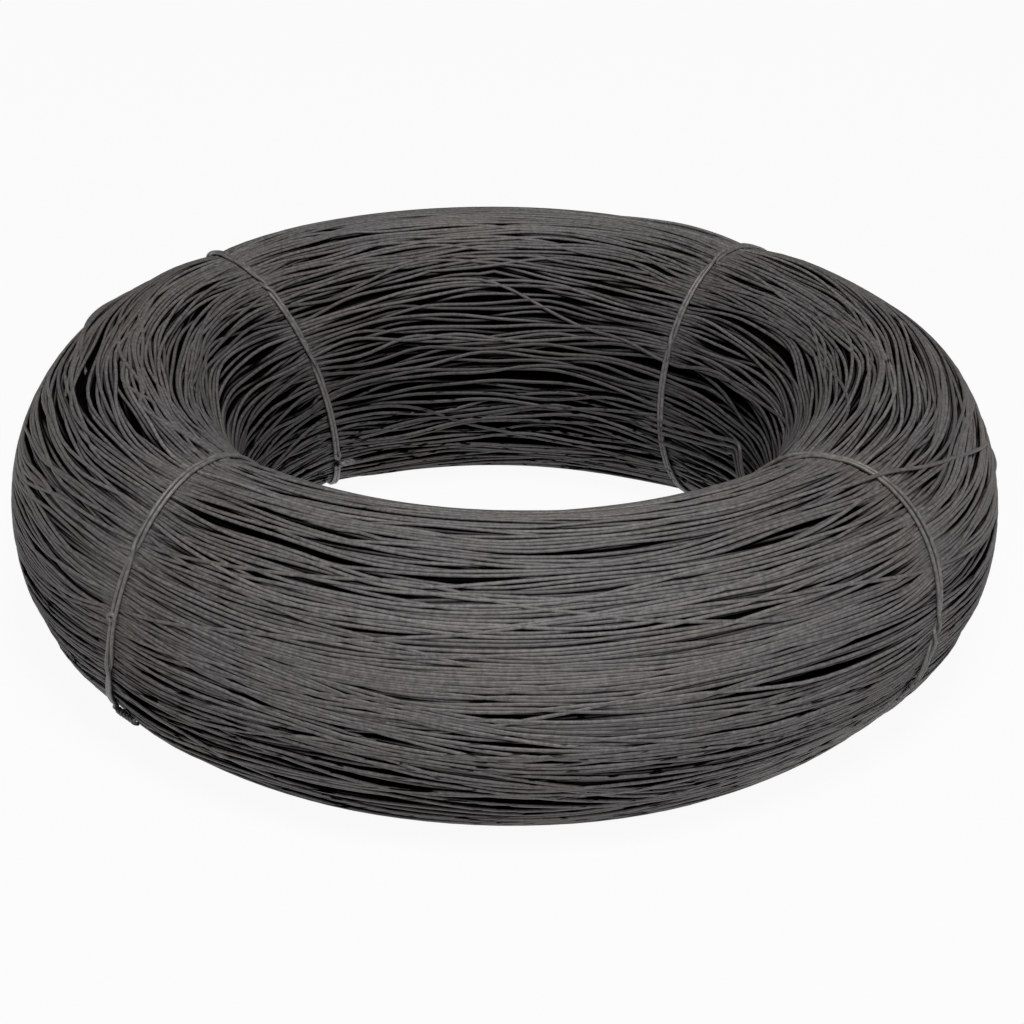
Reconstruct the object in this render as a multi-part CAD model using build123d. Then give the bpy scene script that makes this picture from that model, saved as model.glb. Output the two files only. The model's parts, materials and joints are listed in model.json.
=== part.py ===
import os
from math import cos, radians, sin, tan

from build123d import *

# A coil of drawn steel wire, wound loose into a ring and tied at four places, lying on one end.
# Millimetres, +Z up. The origin is on the floor, at the centre of the ring.

# The wire, which is also the wire that the ties are made of
wire_diameter = 2.0

# The wound ring
outer_radius = 255.0
bore_radius = 136.0
coil_height = 153.0
# Upright stretch of the bore wall, halfway up
bore_band_height = 18.0
# Ring of turns that the floor presses level
rest_ring_width = 24.0
# Slope at which the round crown of the section passes into its flatter side, from the horizontal
shoulder_angle = 50.0

# The turns lie in bunches side by side, with a furrow between two of them. The bunches are
# narrower on the ends than on the sides, and their furrows shallower.
end_bunch_width = 22.0
end_furrow_depth = 0.8
side_bunch_width = 28.0
side_furrow_depth = 1.5
# Ridges closer together than this are one ridge
least_ridge_gap = 0.01

# The four ties, each a doubled wire pulled tight round the section, by their angle round the ring
tie_angles = {
    "tie_front_left": 221.0,
    "tie_front_right": 321.0,
    "tie_back_left": 138.0,
    "tie_back_right": 51.0,
}
# How far a tie is pulled in below the turns, and the play on each side of it
tie_recess = 0.3
tie_play = 0.15

# The knot of a tie, on its outer side: the eye that it is pulled through and the twisted ends
knot_height = 52.0
eye_inner_diameter = 2.2
eye_bends = 8
tail_length = 15.0
tail_turns = 2
bends_per_turn = 5
tail_lift = 40.0
# Play round the knot, in the hollow that it presses in the turns
knot_play = 0.4

half_height = coil_height / 2
half_width = (outer_radius - bore_radius) / 2
crest_radius = (outer_radius + bore_radius) / 2
wire_radius = wire_diameter / 2
# The wire of a tie is drawn with flats, this far from its middle to a corner
wire_flats = 6
wire_corner = wire_radius / cos(radians(180 / wire_flats))
tie_depth = tie_recess + wire_radius
seat_width = 2 * (wire_radius + wire_corner + tie_play)
eye_radius = eye_inner_diameter / 2 + wire_radius


def at(radius, height):
    """A point of the ring's section, which is drawn in the plane of X and Z."""
    return Vector(radius, 0, height)


def quarter(centre, reach_out, reach_up):
    """Crown arc and side arc of one quarter of the section's outline, tangent to each other.

    The quarter runs from above or below its centre to beside it. A negative reach turns it over.
    """
    out = 1 if reach_out > 0 else -1
    up = 1 if reach_up > 0 else -1
    width = abs(reach_out)
    height = abs(reach_up)
    slope = radians(shoulder_angle)
    shift = (height - width) / (1 + tan(slope) - 1 / cos(slope))
    crown_radius = height - shift * tan(slope)
    side_radius = width + shift
    crown_centre = centre + Vector(0, 0, up * (height - crown_radius))
    side_centre = centre + Vector(out * (width - side_radius), 0, 0)

    def on(arc_centre, radius, angle):
        return arc_centre + Vector(out * radius * cos(angle), 0, up * radius * sin(angle))

    upright = radians(90)
    shoulder = on(crown_centre, crown_radius, slope)
    crown = ThreePointArc(
        on(crown_centre, crown_radius, upright),
        on(crown_centre, crown_radius, (upright + slope) / 2),
        shoulder,
    )
    side = ThreePointArc(
        shoulder,
        on(side_centre, side_radius, slope / 2),
        on(side_centre, side_radius, 0),
    )
    return crown, side


def stations(arc, bunch_width, furrow_depth):
    """Ridges and furrows along an arc, each as its point, the way in and whether it is a furrow.

    A furrow's depth is measured from the straight line between the ridges beside it.
    """
    count = max(1, round(arc.length / bunch_width))
    ridges = [arc @ (n / count) for n in range(count + 1)]
    found = [(ridges[0], (arc.arc_center - ridges[0]).normalized(), False)]
    for before, after in zip(ridges, ridges[1:]):
        middle = (before + after) / 2
        way_in = (arc.arc_center - middle).normalized()
        found.append((middle + way_in * furrow_depth, way_in, True))
        found.append((after, (arc.arc_center - after).normalized(), False))
    return found


def section_stations():
    """Ridges and furrows round the whole section, from the crest by way of the outer side."""
    ring = rest_ring_width / 2
    band = bore_band_height / 2
    quarters = (
        (at(crest_radius, half_height), half_width, half_height, True),
        (at(crest_radius + ring, half_height), half_width - ring, -half_height, False),
        (at(crest_radius - ring, half_height - band), ring - half_width, band - half_height, True),
        (at(crest_radius, half_height + band), -half_width, half_height - band, False),
    )
    found = []
    for centre, reach_out, reach_up, downhill in quarters:
        crown, side = quarter(centre, reach_out, reach_up)
        run = stations(crown, end_bunch_width, end_furrow_depth)[:-1]
        run += stations(side, side_bunch_width, side_furrow_depth)
        for station in run if downhill else run[::-1]:
            if not found or (station[0] - found[-1][0]).length > least_ridge_gap:
                found.append(station)
    return found[:-1]


def turned_outline():
    """The section of the ring, ridge to furrow to ridge."""
    points = [point for point, way_in, furrow in all_stations]
    return Wire(Polyline(*points, close=True))


def drawn_in_outline(inset):
    """The outline of something stretched from ridge to ridge, an inset below them."""
    points = [point + way_in * inset for point, way_in, furrow in all_stations if not furrow]
    return Wire(Polyline(*points, close=True))


def knot_plane():
    """Where the knot lies on its tie: Z points out of the coil and X along the ring."""
    points = [point + way_in * tie_depth for point, way_in, furrow in all_stations if not furrow]
    outer = [point for point in points if point.X > crest_radius]
    upper = min((point for point in outer if point.Z >= knot_height), key=lambda point: point.Z)
    lower = max((point for point in outer if point.Z < knot_height), key=lambda point: point.Z)
    run = lower - upper
    share = (upper.Z - knot_height) / (upper.Z - lower.Z)
    return Plane(origin=upper + run * share, x_dir=(0, 1, 0), z_dir=run.cross(Vector(0, 1, 0)))


def wire_along(path, flat_side):
    """The wire of a tie along a bent line, with two of its flats turned away from a direction."""
    start = Plane(origin=path @ 0, x_dir=flat_side, z_dir=path % 0)
    return sweep(start * RegularPolygon(wire_corner, wire_flats), path=path, transition=Transition.RIGHT)


def strand(side):
    """One of the two strands of a tie, running straight from bunch to bunch round the section."""
    path = drawn_in_outline(tie_depth).moved(Location((0, side * wire_radius, 0)))
    return wire_along(path, (0, 1, 0))


def eye():
    """The small loop beside the strands, bent from the end of the doubled wire."""
    centre = Location((wire_radius + eye_radius, 0, 0))
    ring = centre * RegularPolygon(eye_radius, eye_bends).wire()
    return wire_along(ring, ring @ 0 - centre.position)


def twisted_end(phase):
    """One of the two wire ends, wound round the other from the foot of the knot to its tip."""
    lift = radians(tail_lift)
    heading = Vector(-cos(lift), 0, sin(lift))
    foot = Plane(origin=(0, 0, 0), x_dir=(0, 1, 0), z_dir=heading)
    bends = bends_per_turn * tail_turns
    points = []
    for n in range(bends + 1):
        turned = radians(phase + 360 * n / bends_per_turn)
        offset = Vector(cos(turned), sin(turned), 0) * wire_radius
        points.append(foot.from_local_coords(offset + Vector(0, 0, tail_length * n / bends)))
    return wire_along(Wire(Polyline(*points)), heading)


def tie():
    """A whole tie in the plane of the section: two strands, the eye and the twisted ends."""
    knot = knot_plane()
    ends = twisted_end(0) + twisted_end(180)
    return strand(-1) + strand(1) + knot.location * eye() + knot.location * ends


def tie_seat():
    """What a tie and its knot press out of the turns, with the play round them."""
    beyond = -wire_diameter
    floor_outline = offset(make_face(drawn_in_outline(tie_depth)), -wire_radius, kind=Kind.INTERSECTION)
    band = make_face(drawn_in_outline(beyond)) - floor_outline
    channel = extrude(band, seat_width / 2, both=True)
    lift = radians(tail_lift)
    pair_reach = (wire_radius + wire_corner) / cos(lift)
    eye_side = wire_radius + 2 * eye_radius + wire_corner + knot_play
    tail_side = (tie_depth + pair_reach + knot_play) / tan(lift)
    along = eye_radius + wire_corner + knot_play
    floor = -wire_corner
    hollow = Box(
        eye_side + tail_side,
        2 * along,
        wire_diameter - floor,
        align=(Align.MIN, Align.CENTER, Align.MIN),
    )
    hollow = Location((-tail_side, 0, floor)) * hollow
    return channel + knot_plane().location * hollow


all_stations = section_stations()
coil = revolve(make_face(turned_outline()), Axis.Z)
whole_tie = tie()
seat = tie_seat()
ties = {}
for name, angle in tie_angles.items():
    turn = Rotation(0, 0, angle)
    coil -= turn * seat
    ties[name] = turn * whole_tie

os.makedirs("parts", exist_ok=True)
export_step(coil, "parts/wire_coil.step")
for name, tie_solid in ties.items():
    export_step(tie_solid, f"parts/{name}.step")
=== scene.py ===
"""A coil of black annealed steel wire, wound loose into a ring and held by four wire ties."""

import json
from math import cos, pi, radians, sin, tau

import bpy
import numpy as np
from bpy.props import FloatProperty, IntProperty, PointerProperty, StringProperty
from bpy.types import Operator, Panel, PropertyGroup
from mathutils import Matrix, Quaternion, Vector


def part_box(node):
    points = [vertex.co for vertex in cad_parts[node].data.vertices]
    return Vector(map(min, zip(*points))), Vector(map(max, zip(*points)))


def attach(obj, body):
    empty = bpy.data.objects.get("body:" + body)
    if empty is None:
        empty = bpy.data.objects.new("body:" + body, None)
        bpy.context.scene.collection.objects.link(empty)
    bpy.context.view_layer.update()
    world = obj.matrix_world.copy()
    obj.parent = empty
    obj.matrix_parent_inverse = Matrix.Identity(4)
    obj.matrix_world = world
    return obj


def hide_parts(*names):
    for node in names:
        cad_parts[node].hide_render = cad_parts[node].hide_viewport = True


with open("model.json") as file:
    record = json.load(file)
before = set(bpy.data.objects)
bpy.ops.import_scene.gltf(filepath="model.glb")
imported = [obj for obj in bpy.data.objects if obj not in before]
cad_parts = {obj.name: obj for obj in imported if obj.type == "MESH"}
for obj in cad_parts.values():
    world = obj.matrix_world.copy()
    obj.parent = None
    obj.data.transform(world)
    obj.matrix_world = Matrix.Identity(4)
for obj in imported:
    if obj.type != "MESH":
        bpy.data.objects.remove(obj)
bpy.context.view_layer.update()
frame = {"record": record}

bl_info = {
    "name": "Wire Coil",
    "version": (1, 0, 0),
    "blender": (4, 5, 0),
    "location": "View3D > Sidebar > Wire Coil",
    "description": "Builds the turns, ties, loose wires and studio of a coil of annealed wire",
    "category": "Add Mesh",
}

MM = 0.001
BODY = "root"

# The ring, in millimetres, from the frame
coil_low, coil_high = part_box("wire_coil")
OUTER_RADIUS = (coil_high[0] - coil_low[0]) / 2 / MM
COIL_HEIGHT = (coil_high[2] - coil_low[2]) / MM
BORE_RADIUS = next(m for m in frame["record"]["mounts"] if m["name"] == "bore")["dims"]["r_mm"]
HALF_HEIGHT = COIL_HEIGHT / 2
HALF_WIDTH = (OUTER_RADIUS - BORE_RADIUS) / 2
CREST_RADIUS = (OUTER_RADIUS + BORE_RADIUS) / 2
# The underside is pressed level by this much
PRESSED_LEVEL = 1.5
# Painted shade: the sides of a wire, which face its neighbours, are black like a wire this deep, in mm
PAINTED_SIDE_SHADE = 1.6
# Added to a distance that is divided by, in mm
NEVER_ZERO = 1e-4

# Places on the ring are given by two angles in degrees. The section angle is 0 on the outer side,
# 90 on the crest and 180 in the bore. The ring angle is 0 at the right and 270 at the front.


def setting(kind, name, description, default, **limits):
    return kind(name=name, description=description, default=default, **limits)


def length(name, description, default_mm, **limits):
    return setting(FloatProperty, name, description, default_mm * MM, unit="LENGTH", **limits)


def colour(name, description, default):
    return setting(StringProperty, name, description, default)


class CoilSizes(PropertyGroup):
    """Sizes of the wire and of its turns"""

    wire_diameter: length("Wire diameter", "Diameter of the drawn wire", 2, min=0.5 * MM)
    turns: setting(IntProperty, "Turns", "Outer turns that are made one by one", 660, min=50)
    stations: setting(IntProperty, "Stations", "Points round each turn", 120, min=32)
    layer_depth: length("Layer depth", "Depth of the loose turns over the packed heart", 7.5)
    tie_press: length("Tie press", "How deep a tie presses the turns in", 3.0)
    seed: setting(IntProperty, "Seed", "Which of the many ways the turns may lie", 7)


class CoilColours(PropertyGroup):
    """Colours of the steel and the stage, as sRGB hex"""

    scale_grey: colour("Scale grey", "Annealed oxide scale, which looks warm dark grey", "#696766")
    scale_brown: colour("Scale brown", "Patches where the scale is thin and brownish", "#6A615A")
    rubbed: colour("Rubbed grey", "Specks where the scale has rubbed off", "#A5A29F")
    # Painted shade: the black given to wire deep between the turns and to the packed heart
    shade: colour("Deep black", "Wire deep between the turns, black with soap", "#090908")
    floor: colour("Floor white", "Plain pale floor", "#D2D2D2")


class StudioLights(PropertyGroup):
    """Strength of the studio's lights"""

    key: setting(FloatProperty, "Key", "Softbox above the front", 53.0, unit="POWER")
    fill: setting(FloatProperty, "Fill", "Softbox at the right", 1.5, unit="POWER")
    sky: setting(FloatProperty, "Sky", "Light from all round", 0.09, min=0.0)


class Section:
    """The oval section of the ring, measured in millimetres along its outline from the crest."""

    def __init__(self, samples=1440):
        angle = pi / 2 - np.linspace(0, tau, samples + 1)
        tall = np.where(np.sin(angle) < 0, HALF_HEIGHT + PRESSED_LEVEL, HALF_HEIGHT)
        radius = CREST_RADIUS + HALF_WIDTH * np.cos(angle)
        height = HALF_HEIGHT + tall * np.sin(angle)
        across = np.cos(angle) / HALF_WIDTH
        up = np.sin(angle) / tall
        size = np.hypot(across, up)
        self.way = np.concatenate(([0], np.cumsum(np.hypot(np.diff(radius), np.diff(height)))))
        self.length = self.way[-1]
        self.turned = np.linspace(0, 360, samples + 1)
        self.rows = (radius, height, across / size, up / size)

    def at(self, way):
        """Radius, height and the outward normal at a way along the outline."""
        around = np.mod(way, self.length)
        return [np.interp(around, self.way, row) for row in self.rows]

    def way_of(self, angle_deg):
        """Way along the outline of a section angle, which may run on past a whole turn."""
        turned = 90 - np.asarray(angle_deg, float)
        whole = np.floor(turned / 360)
        return np.interp(turned - 360 * whole, self.turned, self.way) + whole * self.length

    def angle_of(self, way):
        """Section angle in degrees at a way along the outline."""
        return 90 - np.interp(np.mod(way, self.length), self.way, self.turned)


section = Section()


def points_at(way, around, depth, margin=1.05):
    """Points in metres at a way along the section, an angle round the ring and a depth.

    They stay a margin inside the height of the ring.
    """
    radius, height, across, up = section.at(way)
    radius = radius - across * depth
    height = np.clip(height - up * depth, margin, COIL_HEIGHT - margin)
    return np.stack((radius * np.cos(around), radius * np.sin(around), height), axis=-1) * MM


def outward_at(way, around):
    """Directions out of the coil at a way along the section and an angle round the ring."""
    across, up = section.at(way)[2:]
    return np.stack((across * np.cos(around), across * np.sin(around), up), axis=-1)


def unit(vectors):
    return vectors / np.linalg.norm(vectors, axis=-1, keepdims=True)


def wrapped(angle_deg):
    """The same angle, between -180 and 180 degrees."""
    return np.mod(np.asarray(angle_deg) + 180, 360) - 180


def bump(gap, width):
    """A smooth hill, 1 at its top, over a gap from its middle."""
    return np.exp(-((gap / width) ** 2))


# Ties


class TieLay:
    """How one tie lies: its place, its lean, its knot and what its two strands do on the way."""

    # Degrees of the section that the foot leans over, and from the middle of the knot to the foot
    # of the tail and to the eye
    foot_reach = 22
    tail_gap = 3
    eye_gap = 5
    crossing_steepness = 1.5

    def __init__(self, lean, knot, tail, crossings, spreads, bows=(), curl=None):
        self.lean = lean
        self.knot = knot
        self.tail = tail
        self.crossings = crossings
        self.spreads = spreads
        self.bows = bows
        self.curl = curl

    def ring_angle(self, section_angle_deg):
        place, top, outer, foot = self.lean
        turned = np.radians(section_angle_deg)
        foot_share = bump(wrapped(section_angle_deg - self.knot), self.foot_reach)
        return place + top * np.sin(turned) + outer * np.cos(turned) + foot * foot_share


# lean: ring angle, and how far it shifts at the crest, on the outer side and at the knot.
# knot: section angle. tail: length in mm, twists, way it points (along the ring, out, up).
# crossings: section angle, half turns, over how many degrees. spreads: section angle, mm, degrees.
# bows: section angle, mm off the coil, degrees. curl: section angle of a small closed curl.
TIES = {
    "tie_front_left": TieLay(
        lean=(220.5, 3.1, 2.7, -3.0),
        knot=-46,
        tail=(24, 3.5, (1.0, 0.1, 0.22)),
        crossings=[(38, 1, 8), (-14, 1, 8)],
        spreads=[(65, 0.9, 25), (20, 0.9, 14), (-8, 0.6, 8)],
        curl=9.5,
    ),
    "tie_front_right": TieLay(
        lean=(321.4, 1.6, 4.4, 0.0),
        knot=-82,
        tail=(9, 2, (-1.0, 0.1, 0.0)),
        crossings=[(112, 1, 14), (-5, 2, 9)],
        spreads=[(32, 1.8, 34), (-28, 1.0, 9)],
        bows=[(-24, 1.6, 8)],
    ),
    "tie_back_left": TieLay(
        lean=(131.8, 9.2, -3.8, 0.0),
        knot=-146,
        tail=(9, 1.5, (-0.9, 0.3, 0.3)),
        crossings=[(118, 2, 9), (160, 1, 12), (60, 1, 10)],
        spreads=[(85, 0.6, 9)],
    ),
    "tie_back_right": TieLay(
        lean=(51.1, -0.6, -0.6, 0.0),
        knot=-50,
        tail=(12, 2, (1.0, 0.1, 0.0)),
        crossings=[(153, 1, 9), (105, 1, 12)],
        spreads=[(76, 3.0, 7)],
    ),
}


def press(way, ring_deg, depth, width=3.4):
    """How deep the ties press the turns in, over a width in degrees round the ring."""
    angle = section.angle_of(way)
    total = np.zeros(np.broadcast(way, ring_deg).shape)
    for lay in TIES.values():
        gap = wrapped(ring_deg - lay.ring_angle(angle))
        total = np.maximum(total, depth * bump(gap, width))
    return total


def hill_at(place, angle, ring_deg):
    """A smooth hill over a place, which is a section angle, a ring angle and both widths."""
    section_deg, place_deg, tall, wide = place
    return bump(wrapped(angle - section_deg), tall) * bump(wrapped(ring_deg - place_deg), wide)


# Places where the whole coil is fuller or slacker than its oval: section angle, ring angle,
# both widths in degrees, and how far in, in mm
SLACK_PLACES = (
    (-42, 313, 26, 20, 5.0),
    (50, 12, 26, 17, -4.0),
    (76, 60, 14, 14, 1.2),
)

# Places where the turns are drawn together, or parted where the share is negative: section angle,
# ring angle, reach in mm across the turns, reach in degrees round the ring, and share
GATHERED_PLACES = (
    (14, 268, 46, 40, 0.32),
    (62, 183, 46, 30, -0.22),
    (58, 358, 46, 30, -0.18),
    (78, 215, 40, 25, -0.12),
    (182, 80, 44, 60, -0.2),
)


def gathered(way, ring_deg):
    """How far the turns move across to where they are drawn together."""
    total = np.zeros(np.broadcast(way, ring_deg).shape)
    for section_deg, place_deg, tall, wide, share in GATHERED_PLACES:
        gap = np.mod(way - section.way_of(section_deg) + section.length / 2, section.length)
        gap = gap - section.length / 2
        total -= share * gap * bump(gap, tall) * bump(wrapped(ring_deg - place_deg), wide)
    return total


def slack(way, ring_deg):
    """How far in from its oval the coil lies, in mm."""
    angle = section.angle_of(way)
    total = np.zeros(np.broadcast(way, ring_deg).shape)
    for *place, depth in SLACK_PLACES:
        total += depth * hill_at(place, angle, ring_deg)
    return total


# Places where the turns lie smooth and close, and where they lie in bunches: section angle, ring
# angle, and both widths in degrees
SMOOTH_PLACES = ((28, 266, 42, 48), (98, 90, 30, 45))
BUNCHED_PLACES = ((20, 180, 60, 38), (20, 0, 60, 38), (-42, 270, 26, 60))


def share_of(places, way, ring_deg):
    """How much a point of the coil belongs to some of its places, from 0 to 1."""
    angle = section.angle_of(way)
    total = np.zeros(np.broadcast(way, ring_deg).shape)
    for place in places:
        total = np.maximum(total, hill_at(place, angle, ring_deg))
    return total


# Turns


def own_waves(random, count, ring_rad, orders, sizes):
    """Each turn's own wandering, as waves round the ring: orders are waves to the circle."""
    total = np.zeros((count, len(ring_rad)))
    for order, size in zip(orders, sizes):
        phase = random.uniform(0, tau, (count, 1))
        total += size * random.normal(0, 1, (count, 1)) * np.cos(order * ring_rad + phase)
    return total


def swell(random, way, ring_rad, count, orders, across, size):
    """A swell that moves turns lying side by side alike, so that they bunch and part."""
    total = np.zeros(np.broadcast(way, ring_rad).shape)
    for _ in range(count):
        order = random.integers(orders[0], orders[1] + 1)
        waves = random.integers(across[0], across[1] + 1)
        phase = random.uniform(0, tau)
        sign = random.choice((-1, 1))
        total += np.sin(order * ring_rad + sign * tau * waves * way / section.length + phase)
    return total * size * (2 / count) ** 0.5


class Turns:
    """The outer turns of the coil, settled until they lie beside and on each other."""

    # How close the turns lie, by section angle from the crest down the bore, along the underside
    # and up the outer side
    closeness_angles = (-270, -240, -215, -180, -130, -90, -50, -30, -10, 15, 38, 60, 90)
    closeness = (1.1, 1.1, 0.8, 0.75, 0.7, 0.55, 0.75, 0.95, 1.15, 1.5, 1.55, 1.3, 1.1)
    # Each turn's own wandering, as waves to the circle and their sizes in mm
    wander_orders = (1, 2, 3, 4, 5, 7, 9, 12, 16, 21)
    wander_sizes = (2.6, 2.0, 1.6, 1.2, 1.0, 0.6, 0.5, 0.4, 0.3, 0.2)
    # The swells: how many waves, waves to the circle, waves round the section, and size in mm.
    # Smooth places have this share less of them and bunched places this share more.
    swells = ((24, (1, 6), (1, 12), 2.2), (40, (4, 14), (8, 36), 0.9))
    smoothing = 0.6
    bunching = 0.8
    # The kinks: their share of the turns, their widths in degrees and their sizes in mm
    kinked_share = 0.15
    kink_widths = (2.5, 6)
    kink_sizes = (2.0, 5.0)
    # The crossers likewise, and how deep they lie at first, in wire diameters
    crossing_share = 0.05
    crossing_widths = (22, 55)
    crossing_sizes = (12, 40)
    crossing_depth = 0.6
    # The slanting sheet: its section angle and reach, its share of the turns there, the ring angle
    # of its middle and how far that scatters, how many degrees it slants over, and its sizes in mm
    sheet_angle = -14
    sheet_reach = 24
    sheet_share = 0.22
    sheet_place = 256
    sheet_scatter = 10
    sheet_slant = 26
    sheet_sizes = (10, 24)
    # In bunched places this share of the turns dives under the others, this deep in mm
    diving_share = 0.42
    diving_depth = 2.4
    # A turn is held against this many on both sides of it, and shaded by those that lie within
    # this many wire diameters
    neighbours = 5
    shading_reach = 1.3
    # In each round a turn makes this share of its move away from its neighbours, of its way back
    # to its own place, and of the move that takes a sharp step out of it
    parting = 0.5
    homing = 0.04
    stiffness = 0.22
    # How far turns, crossers and turns in smooth places rise in a round, in mm
    rise = 0.003
    crossing_rise = 0.05
    smooth_rise = 0.024
    # Rounds between two looks at slack places and ties, and the share of slack that is left at ties
    look_rounds = 12
    slack_at_ties = 0.5

    def __init__(self, sizes):
        self.wire = sizes.wire_diameter / MM
        self.layer = sizes.layer_depth / MM
        self.tie_press = sizes.tie_press / MM
        random = np.random.default_rng(sizes.seed)
        self.random = random
        count = sizes.turns
        self.ring_rad = np.arange(sizes.stations) * tau / sizes.stations
        self.ring_deg = np.degrees(self.ring_rad)
        start = self.spaced(np.arange(count) + random.uniform(0, 1, count))
        random.shuffle(start)
        start = start[:, None]
        wish = start + own_waves(
            random, count, self.ring_rad, self.wander_orders, self.wander_sizes
        )
        rough = 1 - self.smoothing * share_of(SMOOTH_PLACES, start, self.ring_deg)
        rough += self.bunching * share_of(BUNCHED_PLACES, start, self.ring_deg)
        for waves in self.swells:
            wish += rough * swell(random, start, self.ring_rad, *waves)
        wish += self.kinks(count)
        wish += gathered(start, self.ring_deg)
        wish += self.crossers(count)
        wish += self.sheet(start)
        self.wish = wish
        self.way = wish.copy()
        depth = self.wire * (0.5 + random.uniform(0, self.layer / self.wire - 0.5, (count, 1)))
        depth = np.where(self.lifting > 0, self.wire * self.crossing_depth, depth)
        self.depth = np.repeat(depth, sizes.stations, axis=1)
        self.ground = np.zeros_like(wish)
        self.diving = self.diving_depth * (random.uniform(0, 1, (count, 1)) < self.diving_share)

    def spaced(self, marks):
        """Where turns lie across the section, closer on the outer side than in the bore."""
        angle = section.angle_of(section.way[:-1])
        close = np.interp(angle, self.closeness_angles, self.closeness)
        total = np.concatenate(([0], np.cumsum(close * np.diff(section.way))))
        return np.interp(marks * total[-1] / len(marks), total, section.way)

    def kinks(self, count):
        """Small S bends that turns keep from the winding."""
        random = self.random
        place = random.uniform(0, 360, (count, 1))
        width = random.uniform(*self.kink_widths, (count, 1))
        size = random.choice((-1, 1), (count, 1)) * random.uniform(*self.kink_sizes, (count, 1))
        size *= random.uniform(0, 1, (count, 1)) < self.kinked_share
        gap = wrapped(self.ring_deg - place) / width
        return size * gap * np.exp(-(gap**2))

    def crossers(self, count):
        """Turns that wander far over their neighbours and come back."""
        random = self.random
        chosen = random.uniform(0, 1, (count, 1)) < self.crossing_share
        self.lifting = chosen * 1.0
        place = random.uniform(0, 360, (count, 1))
        width = random.uniform(*self.crossing_widths, (count, 1))
        side = random.choice((-1, 1), (count, 1))
        size = side * random.uniform(*self.crossing_sizes, (count, 1))
        return chosen * size * bump(wrapped(self.ring_deg - place), width)

    def sheet(self, start):
        """A sheet of turns that slants down over the others, low at the front."""
        random = self.random
        angle = wrapped(section.angle_of(start))
        chosen = np.abs(angle - self.sheet_angle) < self.sheet_reach
        chosen = chosen & (random.uniform(0, 1, start.shape) < self.sheet_share)
        self.lifting = np.maximum(self.lifting, chosen * 1.0)
        size = random.uniform(*self.sheet_sizes, start.shape)
        scatter = random.uniform(-self.sheet_scatter, self.sheet_scatter, start.shape)
        gap = wrapped(self.ring_deg - self.sheet_place - scatter)
        return chosen * size * np.tanh(gap / self.sheet_slant) * np.cos(np.radians(gap) / 2)

    def part(self):
        """Push turns apart where they would run into each other."""
        order = np.argsort(self.way, axis=0)
        way = np.take_along_axis(self.way, order, axis=0)
        depth = np.take_along_axis(self.depth, order, axis=0)
        move_way = np.zeros_like(way)
        move_depth = np.zeros_like(way)
        for k in range(1, self.neighbours + 1):
            other = np.roll(way, -k, axis=0)
            other[-k:] += section.length
            gap_way = other - way
            gap_depth = np.roll(depth, -k, axis=0) - depth
            gap = np.hypot(gap_way, gap_depth) + NEVER_ZERO
            # Each of the two moves by half of what they lack
            push = np.maximum(0, self.wire - gap) * 0.5 / gap
            push_way = push * gap_way
            push_depth = push * gap_depth
            move_way += np.roll(push_way, k, axis=0) - push_way
            move_depth += np.roll(push_depth, k, axis=0) - push_depth
        np.put_along_axis(self.way, order, way + self.parting * move_way, axis=0)
        np.put_along_axis(self.depth, order, depth + self.parting * move_depth, axis=0)

    def stiffen(self):
        """Take sharp steps out of a turn, as its stiffness does."""
        for row, rest in ((self.way, self.wish), (self.depth, 0)):
            bent = row - rest
            beside = np.roll(bent, 1, axis=1) + np.roll(bent, -1, axis=1)
            row += self.stiffness * (beside - 2 * bent)

    def settle(self, rounds=190, closing=14):
        """Let the turns find their places. In the closing rounds they only part and straighten."""
        ring = self.ring_deg
        for n in range(rounds):
            if n % self.look_rounds == 0:
                self.ground = slack(self.way, ring)
                pressed = press(self.way, ring, self.tie_press)
                at_tie = self.ground * self.slack_at_ties + pressed
                self.shallow = self.wire / 2 + np.maximum(self.ground, at_tie)
                self.shallow += self.diving * share_of(BUNCHED_PLACES, self.way, ring)
            self.part()
            self.stiffen()
            if n < rounds - closing:
                self.way += self.homing * (self.wish - self.way)
                rise = self.rise + self.smooth_rise * share_of(SMOOTH_PLACES, self.way, ring)
                self.depth -= np.where(self.lifting > 0, self.crossing_rise, rise)
            self.depth = np.clip(self.depth, self.shallow, self.layer + self.ground)

    def buried(self):
        """How far each turn lies below the turns right beside it, in mm."""
        order = np.argsort(self.way, axis=0)
        way = np.take_along_axis(self.way, order, axis=0)
        depth = np.take_along_axis(self.depth, order, axis=0)
        lowest = depth.copy()
        for k in range(-self.neighbours, self.neighbours + 1):
            gap = np.abs(np.roll(way, k, axis=0) - way)
            gap = np.minimum(gap, section.length - gap)
            near = gap < self.wire * self.shading_reach
            lowest = np.where(near, np.minimum(lowest, np.roll(depth, k, axis=0)), lowest)
        sunk = np.zeros_like(depth)
        np.put_along_axis(sunk, order, depth - lowest, axis=0)
        return (np.roll(sunk, 1, axis=1) + sunk + np.roll(sunk, -1, axis=1)) / 3


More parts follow.
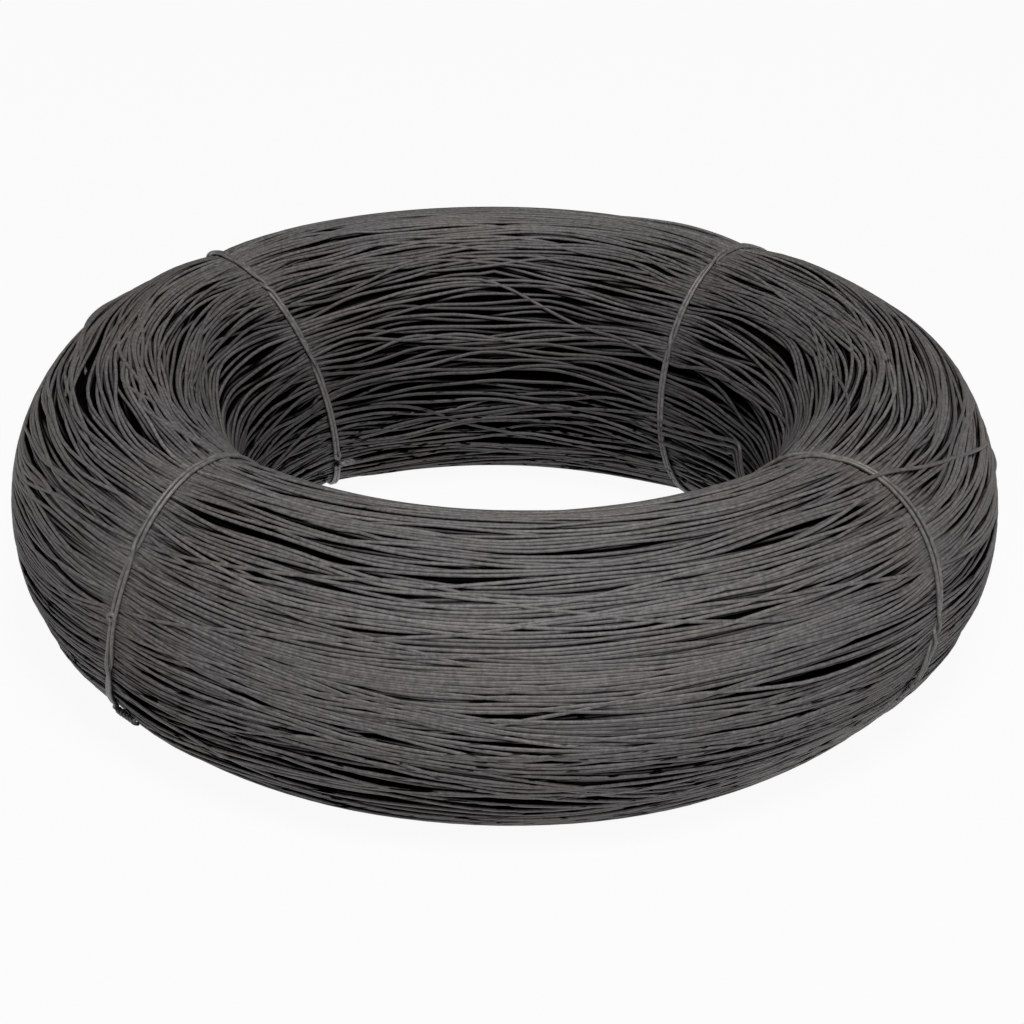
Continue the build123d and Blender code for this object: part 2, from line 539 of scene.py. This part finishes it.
def tube_mesh(name, paths, radius, sides, tones_and_shade=None, shade_depths=None, outward=None, closed=True):
    """Round wires along paths, an array of wires by stations by coordinates, as one mesh.

    Tones and depths are kept with the points, for the painted shade of the bore and between the
    turns, and what faces into the coil counts as deeper.
    """
    count, stations = paths.shape[:2]
    ahead = np.roll(paths, -1, axis=1)
    behind = np.roll(paths, 1, axis=1)
    if not closed:
        ahead[:, -1] = paths[:, -1]
        behind[:, 0] = paths[:, 0]
    along = unit(ahead - behind)
    side = unit(np.cross(along, (0.0, 0.0, 1.0)) if closed else carried_sides(along))
    top = np.cross(side, along)
    turn = np.arange(sides) * tau / sides
    ring = side[:, :, None, :] * np.cos(turn)[:, None] + top[:, :, None, :] * np.sin(turn)[:, None]
    points = (paths[:, :, None, :] + ring * radius).reshape(-1, 3)
    spans = stations if closed else stations - 1
    wire = np.arange(count)[:, None, None] * stations * sides
    here = wire + np.arange(spans)[None, :, None] * sides
    there = wire + ((np.arange(spans) + 1) % stations)[None, :, None] * sides
    corner = np.arange(sides)[None, None, :]
    beside = (corner + 1) % sides
    quads = np.stack((here + corner, there + corner, there + beside, here + beside), axis=-1)
    loops = quads.reshape(-1)
    sizes = np.full(len(loops) // 4, 4)
    if not closed:
        first = wire[:, 0] + np.arange(sides)[None, :]
        last = wire[:, 0] + (stations - 1) * sides + np.arange(sides)[None, ::-1]
        loops = np.concatenate((loops, first.reshape(-1), last.reshape(-1)))
        sizes = np.concatenate((sizes, np.full(2 * count, sides)))
    mesh = bpy.data.meshes.new(name)
    mesh.vertices.add(len(points))
    mesh.vertices.foreach_set("co", points.ravel())
    mesh.loops.add(len(loops))
    mesh.loops.foreach_set("vertex_index", loops.astype(np.int32))
    mesh.polygons.add(len(sizes))
    starts = np.concatenate(([0], np.cumsum(sizes)[:-1])).astype(np.int32)
    mesh.polygons.foreach_set("loop_start", starts)
    mesh.polygons.foreach_set("use_smooth", sizes == 4)
    mesh.update(calc_edges=True)
    spread = np.zeros((count, stations, sides))
    tone = spread if tones_and_shade is None else spread + tones_and_shade[:, :, None]
    deep = spread if shade_depths is None else spread + shade_depths[:, :, None]
    if outward is not None:
        # Painted shade on the sides of a wire that face away from the outside of the coil
        deep = deep + PAINTED_SIDE_SHADE * (1 - (ring * outward[:, :, None, :]).sum(axis=3))
    for label, values in (("tone", tone), ("deep", deep)):
        layer = mesh.attributes.new(label, "FLOAT", "POINT")
        layer.data.foreach_set("value", values.reshape(-1).astype(np.float32))
    return mesh


def carried_sides(along):
    """A direction beside each path, carried along it without twist."""
    sides = np.zeros_like(along)
    for row in range(along.shape[0]):
        side = np.cross(along[row, 0], (0.0, 0.0, 1.0))
        # A path that starts nearly upright
        if np.linalg.norm(side) < 0.1:
            side = np.cross(along[row, 0], (0.0, 1.0, 0.0))
        for n in range(along.shape[1]):
            side = unit(side - along[row, n] * np.dot(side, along[row, n]))
            sides[row, n] = side
    return sides


def add_object(name, data):
    added = bpy.data.objects.new(name, data)
    bpy.context.scene.collection.objects.link(added)
    return added


def add_piece(name, mesh, material):
    piece = add_object(name, mesh)
    mesh.materials.append(material)
    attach(piece, BODY)
    return piece


def eased(points, times):
    """Round off a run of points while its two ends stay."""
    for _ in range(times):
        points[1:-1] += 0.5 * (0.5 * (points[:-2] + points[2:]) - points[1:-1])
    return points


def even_steps(points, step):
    """The same line with its points a step apart."""
    lengths = np.concatenate(([0], np.cumsum(np.linalg.norm(np.diff(points, axis=0), axis=1))))
    count = max(4, int(lengths[-1] / step) + 1)
    marks = np.linspace(0, lengths[-1], count)
    return np.stack([np.interp(marks, lengths, points[:, k]) for k in range(3)], axis=-1)


# Materials

WHITE = (1, 1, 1, 1)
# Grain of the scale in mm: patches, blotches, specks and pits with their depth. The blotches are
# a little coarser than real ones, so that they show.
PATCH = 55
BLOTCH = 2.5
SPECK = 0.9
PIT = 0.6
PIT_DEPTH = 0.12
# Runs of painted shade along the wires, in mm along the wire and across it, and the heights
# between which they grow from none to full
RUN_LENGTH = 15
RUN_WIDTH = 1.8
SHADE_RUNS_TOP = 110
SHADE_RUNS_FULL = 30
# How far the roughness goes up and down with the blotches
ROUGHNESS_SPREAD = 0.09
# The share of plain white in what the camera sees of the floor
FLOOR_WHITE = 0.94


def linear(hex_colour):
    """sRGB hex to the linear colour that shaders take."""
    values = [int(hex_colour[k : k + 2], 16) / 255 for k in (1, 3, 5)]
    return [v / 12.92 if v <= 0.04045 else ((v + 0.055) / 1.055) ** 2.4 for v in values] + [1.0]


def add_node(tree, kind, settings=None, **links):
    """A node with its settings, and its inputs set or linked by name or number, such as i2."""
    node = tree.nodes.new("ShaderNode" + kind)
    for key, value in (settings or {}).items():
        setattr(node, key, value)
    for key, value in links.items():
        numbered = key[0] == "i" and key[1:].isdigit()
        socket = node.inputs[int(key[1:]) if numbered else key]
        if isinstance(value, bpy.types.NodeSocket):
            tree.links.new(value, socket)
        else:
            socket.default_value = value
    return node


def noise(tree, place, grain, detail, roughness):
    """Noise with a grain of this many mm."""
    node = add_node(
        tree,
        "TexNoise",
        Vector=place,
        Scale=1 / (grain * MM),
        Detail=detail,
        Roughness=roughness,
    )
    return node.outputs["Fac"]


def ramp(tree, value, low, high, first=0.0, last=1.0, kind="LINEAR"):
    """Goes from first to last while a value goes from low to high, and no further."""
    node = add_node(
        tree,
        "MapRange",
        {"interpolation_type": kind},
        Value=value,
        i1=low,
        i2=high,
        i3=first,
        i4=last,
    )
    return node.outputs[0]


def maths(tree, operation, *values):
    inputs = {f"i{number}": value for number, value in enumerate(values)}
    return add_node(tree, "Math", {"operation": operation}, **inputs).outputs[0]


def mixed_colour(tree, share, first, second):
    node = add_node(tree, "Mix", {"data_type": "RGBA"}, i0=share, i6=first, i7=second)
    return node.outputs[2]


def mixed_shader(tree, share, first, second):
    node = add_node(
        tree, "MixShader", i0=share, i1=first.outputs[0], i2=second.outputs[0]
    )
    return node.outputs[0]


def new_material(name):
    material = bpy.data.materials.new(name)
    material.use_nodes = True
    material.node_tree.nodes.clear()
    return material, material.node_tree


def annealed_wire(name, colours, lightness, roughness):
    """Black annealed drawn steel: matt oxide scale, brownish where thin, specked where rubbed, with
    painted shade.
    """
    material, tree = new_material(name)
    place = add_node(tree, "TexCoord").outputs["Object"]
    # Brownish patches, where the furnace left the scale thin
    patch_share = ramp(tree, noise(tree, place, PATCH, 3.0, 0.6), 0.46, 0.75, 0.0, 0.7)
    tint = mixed_colour(tree, patch_share, linear(colours.scale_grey), linear(colours.scale_brown))
    blotches = noise(tree, place, BLOTCH, 4.0, 0.7)
    blotch_light = ramp(tree, blotches, 0.36, 0.64, 0.64, 1.36)
    # Each wire's own tone, which also carries the painted shade of the bore
    tone = add_node(tree, "Attribute", {"attribute_name": "tone"}).outputs["Fac"]
    light = maths(tree, "MULTIPLY", blotch_light, maths(tree, "ADD", tone, lightness))
    steel = add_node(tree, "VectorMath", {"operation": "SCALE"}, Vector=tint, Scale=light)
    # Specks where the scale is rubbed to the metal
    speck_share = ramp(tree, noise(tree, place, SPECK, 2.0, 0.6), 0.7, 0.78, 0.0, 0.6)
    specked = mixed_colour(tree, speck_share, steel.outputs[0], linear(colours.rubbed))
    # Painted shade in black runs along the wires, most of them low down
    parts = add_node(tree, "SeparateXYZ", Vector=place)
    around = maths(tree, "ARCTAN2", parts.outputs["Y"], parts.outputs["X"])
    along = maths(tree, "MULTIPLY", around, OUTER_RADIUS * MM * RUN_WIDTH / RUN_LENGTH)
    out = add_node(tree, "VectorMath", {"operation": "LENGTH"}, Vector=place)
    laid = add_node(
        tree, "CombineXYZ", X=along, Y=out.outputs["Value"], Z=parts.outputs["Z"]
    )
    runs = noise(tree, laid.outputs[0], RUN_WIDTH, 1.0, 0.5)
    shade_run_share = ramp(tree, runs, 0.6, 0.66, 0.0, 2.2)
    low_shade_share = ramp(tree, parts.outputs["Z"], SHADE_RUNS_TOP * MM, SHADE_RUNS_FULL * MM)
    # Painted shade: deep between the turns and in the runs the wire is mixed to a dull black
    deep = add_node(tree, "Attribute", {"attribute_name": "deep"}).outputs["Fac"]
    painted_shade_depth = maths(tree, "MULTIPLY_ADD", shade_run_share, low_shade_share, deep)
    painted_shade_share = ramp(tree, painted_shade_depth, 0.6, 2.5, kind="SMOOTHSTEP")
    smoother = roughness - ROUGHNESS_SPREAD
    rougher = roughness + ROUGHNESS_SPREAD
    # The scale is crazed and pitted
    pits = noise(tree, place, PIT, 2.0, 0.6)
    relief = add_node(tree, "Bump", Strength=0.5, Distance=PIT_DEPTH * MM, Height=pits)
    shader = add_node(
        tree,
        "BsdfPrincipled",
        Metallic=0.0,
        Roughness=ramp(tree, blotches, 0.3, 0.7, smoother, rougher),
        IOR=1.5,
        Normal=relief.outputs[0],
        **{"Base Color": specked},
    )
    black = add_node(tree, "BsdfDiffuse", Color=linear(colours.shade))
    surface = mixed_shader(tree, painted_shade_share, shader, black)
    add_node(tree, "OutputMaterial", Surface=surface)
    return material


def packed_heart(colours):
    """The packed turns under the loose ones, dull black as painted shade."""
    material, tree = new_material("packed_wire_painted_shade")
    shader = add_node(tree, "BsdfDiffuse", Color=linear(colours.shade))
    add_node(tree, "OutputMaterial", Surface=shader.outputs[0])
    return material


def white_floor(colours):
    """A matt painted studio floor. The camera sees it nearly white, with the coil's soft shadow."""
    material, tree = new_material("matt_white_studio_paint")
    paint = add_node(tree, "BsdfDiffuse", Color=linear(colours.floor))
    white = add_node(tree, "Emission", Color=WHITE, Strength=1.0)
    rays = add_node(tree, "LightPath").outputs
    seen = maths(tree, "MAXIMUM", rays["Is Camera Ray"], rays["Is Glossy Ray"])
    seen = maths(tree, "MAXIMUM", seen, rays["Is Transmission Ray"])
    surface = mixed_shader(tree, maths(tree, "MULTIPLY", seen, FLOOR_WHITE), paint, white)
    add_node(tree, "OutputMaterial", Surface=surface)
    return material


# The camera, found from the photograph's perspective
CAMERA_ELEVATION = 25.9875
CAMERA_DISTANCE = 6.2879  # in outer radii, from the middle of the coil
CAMERA_LENS = 107.9
CAMERA_ROLL = 1.066
# Where the middle of the coil shows, right of and above the middle of the 1024 pixel picture
COIL_SHOWS_AT = (-7.26, 28.06)
PICTURE = 1024
SENSOR = 36.0


def photo_camera():
    """A camera at the photograph's viewing angle."""
    elevation = radians(CAMERA_ELEVATION)
    middle = Vector((0, 0, HALF_HEIGHT * MM))
    back = Vector((0, -cos(elevation), sin(elevation)))
    data = bpy.data.cameras.new("camera")
    data.lens = CAMERA_LENS
    data.sensor_width = SENSOR
    camera = add_object("camera", data)
    camera.location = middle + back * CAMERA_DISTANCE * OUTER_RADIUS * MM
    focal = CAMERA_LENS / SENSOR * PICTURE
    right = Vector((1, 0, 0))
    up = right.cross(-back)
    look = -back - right * (COIL_SHOWS_AT[0] / focal) - up * (COIL_SHOWS_AT[1] / focal)
    camera.rotation_mode = "QUATERNION"
    level = look.to_track_quat("-Z", "Y")
    camera.rotation_quaternion = level @ Quaternion((0, 0, 1), radians(CAMERA_ROLL))
    bpy.context.scene.camera = camera


def softbox(name, place, size, power):
    """A square studio light that faces the coil."""
    data = bpy.data.lights.new(name, "AREA")
    data.size = size
    data.energy = power
    light = add_object(name, data)
    light.location = place
    light.rotation_mode = "QUATERNION"
    light.rotation_quaternion = (-Vector(place)).to_track_quat("-Z", "Y")


class WIRE_COIL_OT_turns(Operator):
    """Winds the outer turns and settles them beside and on each other"""

    bl_idname = "wire_coil.turns"
    bl_label = "Turns"

    # Each group of turns: the section angles it lies between in degrees, whether it lies beneath
    # the others, and the sides of its wires
    groups = {
        "turns_outer_side": (0, 50, False, 6),
        "turns_outer_low": (-50, 0, False, 6),
        "turns_top_end": (50, 130, False, 6),
        "turns_bore_side": (130, 230, False, 6),
        "turns_under_end": (230, 310, False, 6),
        "turns_beneath": (-50, 50, True, 4),
        "turns_beneath_ends": (50, 310, True, 4),
    }
    # Turns that on the whole lie deeper than this lie beneath, in mm
    beneath_depth = 4.4
    lightness = 1.0
    roughness = 0.56
    # How much a turn differs in tone from the others, and along itself as waves to the circle
    tone_spread = 0.10
    tone_orders = (2, 5, 11)
    tone_sizes = (0.04, 0.04, 0.03)
    # Painted shade in the bore, inside the ring: how dark it is, its section angle and its reach
    bore_painted_shade = 0.5
    bore_angle = 185
    bore_reach = 48

    def execute(self, context):
        sizes = context.scene.coil_sizes
        colours = context.scene.coil_colours
        turns = Turns(sizes)
        turns.settle()
        material = annealed_wire("black_annealed_wire", colours, self.lightness, self.roughness)
        paths = points_at(turns.way, turns.ring_rad, turns.depth)
        random = turns.random
        count = sizes.turns
        tones_and_shade = random.normal(0, self.tone_spread, (count, 1))
        tones_and_shade = tones_and_shade + own_waves(
            random, count, turns.ring_rad, self.tone_orders, self.tone_sizes
        )
        # How far each turn lies below its neighbours, which the material paints as shade
        shade_depths = turns.buried()
        outward = outward_at(turns.way, turns.ring_rad)
        # Painted shade: turns in the bore are made darker
        gap = wrapped(section.angle_of(turns.way) - self.bore_angle)
        tones_and_shade = tones_and_shade - self.bore_painted_shade * bump(gap, self.bore_reach)
        mean_deep = (turns.depth - turns.ground).mean(axis=1)
        angle = np.mod(section.angle_of(turns.way.mean(axis=1)), 360)
        beneath = mean_deep > self.beneath_depth
        for name, (low, high, lies_beneath, sides) in self.groups.items():
            chosen = (np.mod(angle - low, 360) < high - low) & (beneath == lies_beneath)
            shades = (tones_and_shade[chosen], shade_depths[chosen], outward[chosen])
            mesh = tube_mesh(name, paths[chosen], sizes.wire_diameter / 2, sides, *shades)
            piece = add_piece(name, mesh, material)
            if name == "turns_outer_side":
                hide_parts("wire_coil")
        return {"FINISHED"}


class WIRE_COIL_OT_heart(Operator):
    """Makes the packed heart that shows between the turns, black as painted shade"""

    bl_idname = "wire_coil.heart"
    bl_label = "Packed heart"

    # Points round the section and round the ring
    rows = 96
    columns = 144
    # How far it lies below the loose turns, and how deep the ties press it in, in mm
    gap = 0.3
    tie_press = 1.0

    def execute(self, context):
        least = context.scene.coil_sizes.layer_depth / MM + self.gap
        way = np.linspace(0, section.length, self.rows + 1)[:-1, None]
        ring_rad = np.arange(self.columns) * tau / self.columns
        ring_deg = np.degrees(ring_rad)
        depth = least + slack(way, ring_deg) + press(way, ring_deg, self.tie_press)
        points = points_at(way, ring_rad, depth, least)
        number = np.arange(self.rows * self.columns).reshape(self.rows, self.columns)
        below = np.roll(number, -1, axis=0)
        beside = np.roll(number, -1, axis=1)
        quads = np.stack((number, below, np.roll(below, -1, axis=1), beside), axis=-1).reshape(-1, 4)
        mesh = bpy.data.meshes.new("packed_heart")
        mesh.from_pydata(points.reshape(-1, 3).tolist(), [], quads.tolist())
        mesh.update()
        add_piece("packed_heart", mesh, packed_heart(context.scene.coil_colours))
        return {"FINISHED"}


def tie_line(lay, wire, tie_depth):
    """Middle line of a tie's two strands from the foot of its tail, with their twist and spread."""
    angle = np.arange(lay.knot + lay.tail_gap, lay.knot + 360 - lay.eye_gap, 1.0)
    ring_deg = lay.ring_angle(angle)
    depth = tie_depth + slack(section.way_of(angle), ring_deg)
    twist = np.zeros_like(angle)
    spread = np.full_like(angle, wire / 2)
    turned = wrapped(angle)
    for place, halves, over in lay.crossings:
        gap = angle - place if place > lay.knot else angle - place - 360
        twist += halves * pi * 0.5 * (1 + np.tanh(gap / over * lay.crossing_steepness))
    for place, size, over in lay.spreads:
        spread += size * 0.5 * bump(wrapped(turned - place), over)
    for place, size, over in lay.bows:
        depth -= size * bump(wrapped(turned - place), over)
    middle = points_at(section.way_of(angle), np.radians(ring_deg), depth, wire + 0.1)
    return angle, middle, twist, spread


def tie_frames(lay, angle):
    """Directions at a tie: along the ring and out of the coil."""
    ring = np.radians(lay.ring_angle(angle))
    along = np.stack((-np.sin(ring), np.cos(ring), np.zeros_like(ring)), axis=-1)
    return along, outward_at(section.way_of(angle), ring)


class WIRE_COIL_OT_ties(Operator):
    """Makes the four ties, each one wire doubled, with its eye and its twisted ends"""

    bl_idname = "wire_coil.ties"
    bl_label = "Ties"

    # Lighter than the turns as a painted highlight, with a smoother finish
    lightness = 1.2
    roughness = 0.4
    sides = 8
    # In mm: how deep the strands lie, a curl's size and lift, the length of the eye, how much
    # longer one end is than the other, and the step between two points
    tie_depth = 1.6
    curl_radius = 1.9
    curl_rise = 1.5
    eye_length = 4.5
    longer_end = 1.2
    point_step = 0.9
    # In wire diameters: half the width of the eye, its lift, how far each end lies off the middle
    # of the tail, the tail's lift, and how high its middle lies on the floor
    eye_width = 0.9
    eye_lift = 0.55
    end_spread = 0.52
    tail_lift = 0.6
    tail_on_floor = 1.1
    # How much the last three points of the longer end have of what it is longer
    tip_shares = (0.3, 0.7, 1.2)

    def strands(self, lay, wire):
        """The one wire of a tie: an end, a strand, the eye, the other strand and its end."""
        angle, middle, twist, spread = tie_line(lay, wire, self.tie_depth)
        along, out = tie_frames(lay, angle)
        half = spread[:, None] * MM
        side = np.cos(twist)[:, None] * along + np.sin(twist)[:, None] * out
        first = middle + side * half
        second = middle - side * half
        if lay.curl is not None:
            second = self.curled(second, int(np.argmin(np.abs(angle - lay.curl))), -along, out)
        foot = (middle[0], unit(middle[0] - middle[1]), along[0], out[0], side[0])
        ends = self.twisted_ends(lay.tail, wire, *foot)
        turn = np.linspace(0, pi, 9)[1:-1, None]
        reach = unit(middle[-1] - middle[-2]) * (self.eye_length * MM)
        width = side[-1] * (wire * self.eye_width * MM)
        lift = out[-1] * (wire * self.eye_lift * MM)
        eye = middle[-1] + reach * np.sin(turn) + width * np.cos(turn) + lift * np.sin(turn)
        line = np.concatenate((ends[0][::-1], first, eye, second[::-1], ends[1]))
        return eased(even_steps(line, self.point_step * MM), 2)

    def twisted_ends(self, tail, wire, foot, start, along, out, side):
        """The two ends of a tie, twisted round each other from the foot of the knot.

        They set out in the start direction and soon bend to where the tail points.
        """
        length, twists, (ahead, outward, up) = tail
        heading = unit(along * ahead + out * outward + np.array((0, 0, up)))
        marks = np.linspace(0, 1, int(twists * 12) + 8)[1:]
        bend = np.minimum(1, marks * 4)[:, None]
        direction = unit((1 - bend) * start + bend * heading)
        axis = foot + np.cumsum(direction * length * MM / len(marks), axis=0)
        axis += out * (self.tail_lift * wire * MM) * bend
        # A tail underneath lies on the floor
        axis[:, 2] = np.maximum(axis[:, 2], self.tail_on_floor * wire * MM)
        turn = marks * twists * tau
        ends = []
        for carried in (side, -side):
            points = []
            for n in range(len(marks)):
                carried = unit(carried - direction[n] * np.dot(carried, direction[n]))
                offset = carried * cos(turn[n]) + np.cross(direction[n], carried) * sin(turn[n])
                points.append(axis[n] + offset * self.end_spread * wire * MM)
            ends.append(np.array(points))
        # The ends are cut at slightly different lengths and part at the tip
        ends[0][-3:] += heading * self.longer_end * MM * np.array(self.tip_shares)[:, None]
        return ends

    def curled(self, points, place, beside, out):
        """A strand with a small closed curl beside it, which lies on the turns."""
        turn = np.linspace(0, tau, 16)[1:-1, None]
        run = unit(points[place + 1] - points[place - 1])
        circle = beside[place] * (1 - np.cos(turn)) + run * np.sin(turn)
        lift = out[place] * MM * self.curl_rise * np.sin(turn / 2)
        loop = points[place] + circle * self.curl_radius * MM + lift
        return np.concatenate((points[:place], loop, points[place + 1 :]))

    def execute(self, context):
        sizes = context.scene.coil_sizes
        colours = context.scene.coil_colours
        material = annealed_wire("black_annealed_tie_wire", colours, self.lightness, self.roughness)
        radius = sizes.wire_diameter / 2
        for name, lay in TIES.items():
            line = self.strands(lay, sizes.wire_diameter / MM)
            mesh = tube_mesh(name + "_wire", line[None], radius, self.sides, closed=False)
            piece = add_piece(name + "_wire", mesh, material)
            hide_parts(name)
        return {"FINISHED"}


# Loose wires that show in the photograph: section angle, ring angle and depth in mm, end to end
LOOSE_WIRES = {
    "lifted_far_left": [
        (70, 186, 6), (66, 179, 2), (63, 173, 0), (59, 167, -1.3), (56, 161, -1.1), (54, 155, 0.6),
        (52, 149, 2), (50, 142, 6),
    ],
    "lifted_far_left_under": [
        (60, 184, 6), (61, 177, 2), (61, 171, 0), (60, 165, -0.6), (58, 159, 0), (57, 153, 1.5),
        (55, 146, 6),
    ],
    "lifted_top": [
        (84, 80, 4), (81, 74, 1), (78, 68, -0.4), (75, 62, -1.0), (73, 56, 0.6), (71, 50, 4),
    ],
    "bump_right": [
        (28, 338, 6), (24, 346, 2), (21, 353, 0.4), (18, 358, 0.1), (16, 363, 1), (14, 372, 6),
    ],
    "diagonal_right": [
        (74, 314, 4), (70, 320, 1), (66, 326, 0.6), (57, 333, 0.7), (48, 341, 0.9), (39, 348, 0.8),
        (33, 353, 1), (28, 358, 4),
    ],
    "kink_left_a": [
        (83, 168, 4), (85, 176, 1), (89, 184, 0.8), (95, 191, 0.8), (97, 197, 0.6), (92, 202, 0.4),
        (94, 208, 0.8), (99, 216, 1), (102, 226, 4),
    ],
    "kink_left_b": [
        (90, 168, 4), (91, 177, 1), (91, 186, 0.8), (89, 193, 0.4), (93, 198, -0.2), (98, 202, 0.4),
        (96, 208, 0.8), (101, 217, 1), (105, 228, 4),
    ],
    "bore_bundle_a": [
        (190, 60, 5), (189, 51, 1), (187, 42, 0.3), (184, 34, -0.8), (180, 26, -1.8), (178, 21, -2.6),
        (181, 19.4, -2.8), (188, 18.8, -2.2), (196, 17.5, -0.6), (205, 16, 2), (212, 14, 5),
    ],
    "bore_bundle_b": [
        (193, 60, 5), (192, 51, 1), (190, 42, 0.3), (187, 34, -0.8), (183, 27, -1.6), (181, 22.4, -2.4),
        (184, 20.8, -2.6), (190, 20.2, -2), (198, 19, -0.4), (206, 17, 2), (213, 15, 5),
    ],
    "bore_bundle_c": [
        (196, 62, 5), (195, 53, 1), (193, 44, 0.3), (190, 36, -0.4), (187, 28, -1.2), (184, 24, -2.2),
        (187, 22.4, -2.2), (193, 21.8, -1.6), (200, 20.4, 0), (208, 18.5, 2), (214, 17, 5),
    ],
    "bore_bundle_d": [
        (200, 60, 5), (200, 52, 1), (199, 44, 0.3), (197, 36, 0), (195, 28, -0.6), (194, 22, -0.4),
        (194, 15, 1), (195, 8, 5),
    ],
}


def through(points, steps=14):
    """A smooth line through given points."""
    points = np.array(points, float)
    padded = np.concatenate(([2 * points[0] - points[1]], points, [2 * points[-1] - points[-2]]))
    mark = np.linspace(0, 1, steps, endpoint=False)[:, None]
    rows = []
    for a, b, c, d in zip(padded, padded[1:], padded[2:], padded[3:]):
        curve = 2 * b + (c - a) * mark + (2 * a - 5 * b + 4 * c - d) * mark**2
        rows.append(0.5 * (curve + (3 * b - a - 3 * c + d) * mark**3))
    return np.concatenate(rows + [points[-1:]])


class WIRE_COIL_OT_loose_wires(Operator):
    """Lays the wires that stand off the coil, cross it or are kinked"""

    bl_idname = "wire_coil.loose_wires"
    bl_label = "Loose wires"

    sides = 8
    # The tone of these wires and how much it differs, and the step between two points in mm
    tone = 0.05
    tone_spread = 0.05
    point_step = 2.5

    def execute(self, context):
        sizes = context.scene.coil_sizes
        material = bpy.data.materials["black_annealed_wire"]
        random = np.random.default_rng(sizes.seed + 1)
        for name, places in LOOSE_WIRES.items():
            angle, ring_deg, depth = through(places).T
            way = section.way_of(angle)
            points = points_at(way, np.radians(ring_deg), depth + slack(way, ring_deg))
            points = even_steps(points, self.point_step * MM)[None]
            tones_and_shade = np.full(points.shape[:2], self.tone + random.normal(0, self.tone_spread))
            # Painted shade: loose wires in the bore are made darker, like the turns there
            if name.startswith("bore"):
                tones_and_shade = tones_and_shade - WIRE_COIL_OT_turns.bore_painted_shade
            mesh = tube_mesh(
                name, points, sizes.wire_diameter / 2, self.sides, tones_and_shade, closed=False
            )
            add_piece(name, mesh, material)
        return {"FINISHED"}


class WIRE_COIL_OT_studio(Operator):
    """Sets up the floor, the soft studio light and the camera"""

    bl_idname = "wire_coil.studio"
    bl_label = "Studio"

    # In m: how far the floor goes, and the place and size of the softboxes
    floor_reach = 6.0
    key_place = (0.2, -1.3, 2.35)
    key_size = 0.9
    fill_place = (2.0, -0.8, 1.2)
    fill_size = 1.2

    def execute(self, context):
        lights = context.scene.studio_lights
        reach = self.floor_reach
        mesh = bpy.data.meshes.new("floor")
        corners = [(-reach, -reach, 0), (reach, -reach, 0), (reach, reach, 0), (-reach, reach, 0)]
        mesh.from_pydata(corners, [], [(0, 1, 2, 3)])
        floor = add_object("floor", mesh)
        mesh.materials.append(white_floor(context.scene.coil_colours))
        world = bpy.data.worlds.new("studio")
        world.use_nodes = True
        tree = world.node_tree
        tree.nodes.clear()
        rays = add_node(tree, "LightPath")
        sky = add_node(tree, "Background", Color=WHITE, Strength=lights.sky)
        seen = add_node(tree, "Background", Color=WHITE, Strength=1.0)
        surface = mixed_shader(tree, rays.outputs["Is Camera Ray"], sky, seen)
        add_node(tree, "OutputWorld", Surface=surface)
        context.scene.world = world
        softbox("key_softbox", self.key_place, self.key_size, lights.key)
        softbox("fill_softbox", self.fill_place, self.fill_size, lights.fill)
        context.scene.view_settings.view_transform = "Standard"
        photo_camera()
        return {"FINISHED"}


class WIRE_COIL_PT_panel(Panel):
    """Lists the steps that build the coil"""

    bl_idname = "WIRE_COIL_PT_panel"
    bl_label = "Wire Coil"
    bl_space_type = "VIEW_3D"
    bl_region_type = "UI"
    bl_category = "Wire Coil"

    def draw(self, context):
        for group in ("coil_sizes", "coil_colours", "studio_lights"):
            box = self.layout.box()
            settings = getattr(context.scene, group)
            for name in settings.__annotations__:
                box.prop(settings, name)
        for step in STEPS:
            self.layout.operator(step.bl_idname)


STEPS = (
    WIRE_COIL_OT_studio,
    WIRE_COIL_OT_heart,
    WIRE_COIL_OT_turns,
    WIRE_COIL_OT_ties,
    WIRE_COIL_OT_loose_wires,
)
GROUPS = {"coil_sizes": CoilSizes, "coil_colours": CoilColours, "studio_lights": StudioLights}


def register():
    for group in GROUPS.values():
        bpy.utils.register_class(group)
    for name, group in GROUPS.items():
        setattr(bpy.types.Scene, name, PointerProperty(type=group))
    for step in STEPS:
        bpy.utils.register_class(step)
    bpy.utils.register_class(WIRE_COIL_PT_panel)


def unregister():
    bpy.utils.unregister_class(WIRE_COIL_PT_panel)
    for step in reversed(STEPS):
        bpy.utils.unregister_class(step)
    for name, group in GROUPS.items():
        delattr(bpy.types.Scene, name)
        bpy.utils.unregister_class(group)


def main():
    register()
    bpy.ops.wire_coil.studio()
    bpy.ops.wire_coil.heart()
    bpy.ops.wire_coil.turns()
    bpy.ops.wire_coil.ties()
    bpy.ops.wire_coil.loose_wires()


if __name__ == "__main__":
    main()
